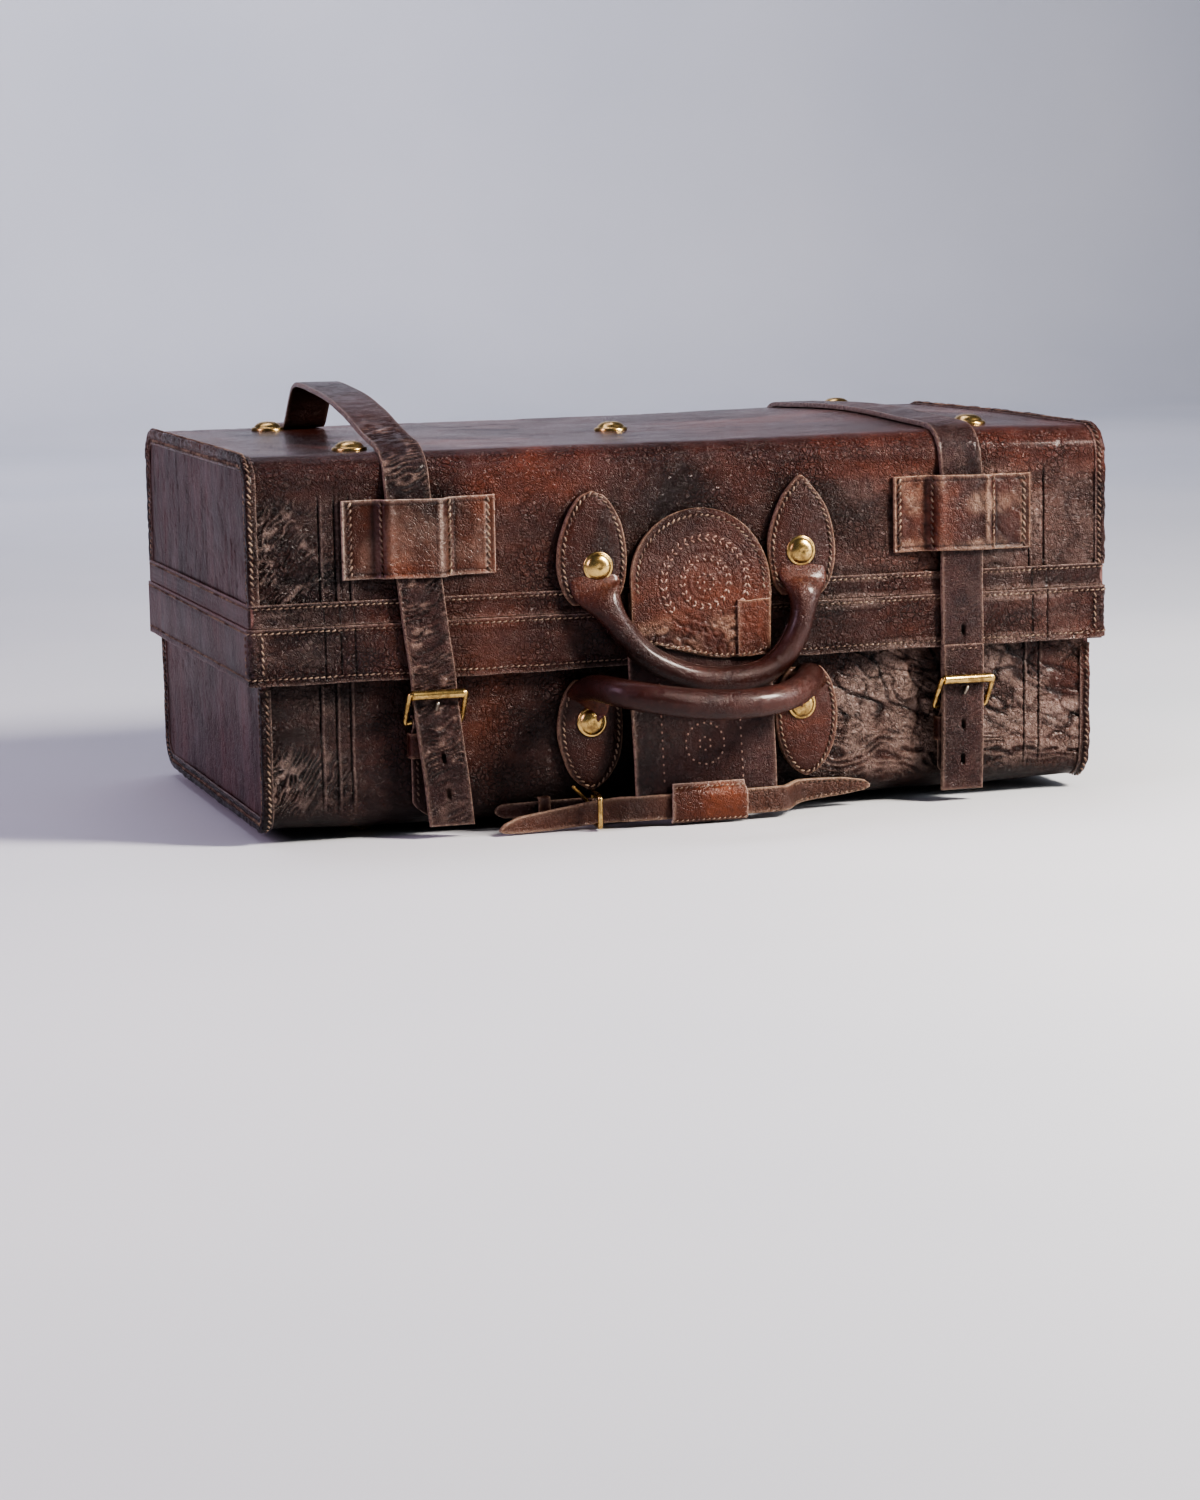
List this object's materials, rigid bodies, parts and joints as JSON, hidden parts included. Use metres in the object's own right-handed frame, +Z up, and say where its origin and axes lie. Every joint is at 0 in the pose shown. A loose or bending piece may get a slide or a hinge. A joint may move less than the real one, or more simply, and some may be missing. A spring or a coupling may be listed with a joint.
{
  "type": "leather travelling case",
  "caption": "Rectangular leather travelling case with a hinged overlapping lid, buckled luggage straps, a belted closing tongue and a rolled handle on lid and base.",
  "frame": {"origin": "on the resting plane, at the flat of the middle foot stud, under the middle of the case", "axes": "+Z up, -Y out of the front where the handles are, +X to the right when facing the handles"},
  "size_m": [0.5768, 0.3991, 0.2774],
  "materials": {
    "leather_body": "aged glazed hide, wrinkled, semi-gloss",
    "leather_end": "aged hide, streaked, satin",
    "leather_strap": "bridle leather, creased, semi-gloss",
    "leather_trim": "polished chestnut hide, semi-gloss",
    "leather_handle": "rolled hide, hand-polished, glossy",
    "handle_core": "rolled split leather",
    "board": "pressed pulp board",
    "lining": "plain-woven drill cloth",
    "brass": "worn, polished on the high spots",
    "steel": "drawn wire, worn"
  },
  "bodies": {
    "base": {"base_wrap": "leather_body", "base_end_left": "leather_end", "base_end_right": "leather_end", "base_front_board": "board", "base_back_board": "board", "base_end_boards": "board", "base_floor_board": "board", "base_lining": "lining", "base_bindings": "leather_body", "base_lip_binding": "leather_trim", "foot_studs": "brass", "base_handle_patches": "leather_trim", "base_handle_studs": "brass", "buckle_chapes": "leather_strap", "strap_keepers": "leather_trim", "belt": "leather_strap", "belt_chape": "leather_strap", "belt_keeper": "leather_trim", "hinge_leaves_base": "brass", "hinge_rivets_base": "brass", "hinge_pins": "steel"},
    "lid": {"lid_wrap": "leather_body", "lid_end_left": "leather_end", "lid_end_right": "leather_end", "lid_front_board": "board", "lid_back_board": "board", "lid_end_boards": "board", "lid_top_board": "board", "lid_lining": "lining", "lid_bindings": "leather_body", "lid_band_upper": "leather_body", "lid_band_lower": "leather_body", "top_studs": "brass", "strap_left": "leather_strap", "strap_right": "leather_strap", "strap_left_tail": "leather_strap", "strap_right_tail": "leather_strap", "saddle_left": "leather_trim", "saddle_right": "leather_trim", "strap_anchor_rivets": "brass", "closure_disc": "leather_trim", "closure_tongue": "leather_strap", "tongue_loop": "leather_trim", "lid_handle_patches": "leather_trim", "lid_handle_studs": "brass", "hinge_leaves_lid": "brass", "hinge_rivets_lid": "brass"},
    "lid_handle": {"lid_handle_cover": "leather_handle", "lid_handle_core": "handle_core"},
    "base_handle": {"base_handle_cover": "leather_handle", "base_handle_core": "handle_core"},
    "left_buckle": {"buckle_left_frame": "brass"},
    "left_roller": {"buckle_left_roller": "brass"},
    "left_prong": {"buckle_left_prong": "steel"},
    "right_buckle": {"buckle_right_frame": "brass"},
    "right_roller": {"buckle_right_roller": "brass"},
    "right_prong": {"buckle_right_prong": "steel"},
    "belt_buckle": {"belt_buckle_frame": "brass"},
    "belt_prong": {"belt_buckle_prong": "steel"}
  },
  "joints": [
    {"name": "lid_hinge", "type": "hinge", "parent": "base", "child": "lid", "pos_m": [0, 0.1665, 0.102], "axis": [-1, 0, 0], "range_deg": [0, 105], "deforming": ["strap_left_tail", "strap_right_tail", "belt"]},
    {"name": "lid_handle_swing", "type": "hinge", "parent": "lid", "child": "lid_handle", "pos_m": [0.003, -0.1745, 0.145], "axis": [-1, 0, 0], "range_deg": [0, 95]},
    {"name": "base_handle_swing", "type": "hinge", "parent": "base", "child": "base_handle", "pos_m": [0.003, -0.167, 0.084], "axis": [-1, 0, 0], "range_deg": [-50, 18]},
    {"name": "left_buckle_swing", "type": "hinge", "parent": "base", "child": "left_buckle", "pos_m": [-0.1715, -0.16096, 0.074], "axis": [1, 0, 0], "range_deg": [0, 70]},
    {"name": "left_prong_swing", "type": "hinge", "parent": "left_buckle", "child": "left_prong", "pos_m": [-0.1715, -0.16096, 0.074], "axis": [1, 0, 0], "range_deg": [0, 20]},
    {"name": "left_roller_spin", "type": "hinge", "parent": "left_buckle", "child": "left_roller", "pos_m": [-0.1715, -0.1734, 0.092], "axis": [1, 0, 0], "continuous": true},
    {"name": "right_buckle_swing", "type": "hinge", "parent": "base", "child": "right_buckle", "pos_m": [0.185, -0.16096, 0.0635], "axis": [1, 0, 0], "range_deg": [0, 70]},
    {"name": "right_prong_swing", "type": "hinge", "parent": "right_buckle", "child": "right_prong", "pos_m": [0.185, -0.16096, 0.0635], "axis": [1, 0, 0], "range_deg": [0, 20]},
    {"name": "right_roller_spin", "type": "hinge", "parent": "right_buckle", "child": "right_roller", "pos_m": [0.185, -0.1734, 0.0815], "axis": [1, 0, 0], "continuous": true},
    {"name": "belt_buckle_swing", "type": "hinge", "parent": "base", "child": "belt_buckle", "pos_m": [-0.068, -0.16096, 0.0125], "axis": [0, 0, 1], "range_deg": [-8, 60]},
    {"name": "belt_prong_swing", "type": "hinge", "parent": "belt_buckle", "child": "belt_prong", "pos_m": [-0.068, -0.16096, 0.0125], "axis": [0, 0, 1], "range_deg": [0, 30]}
  ]
}
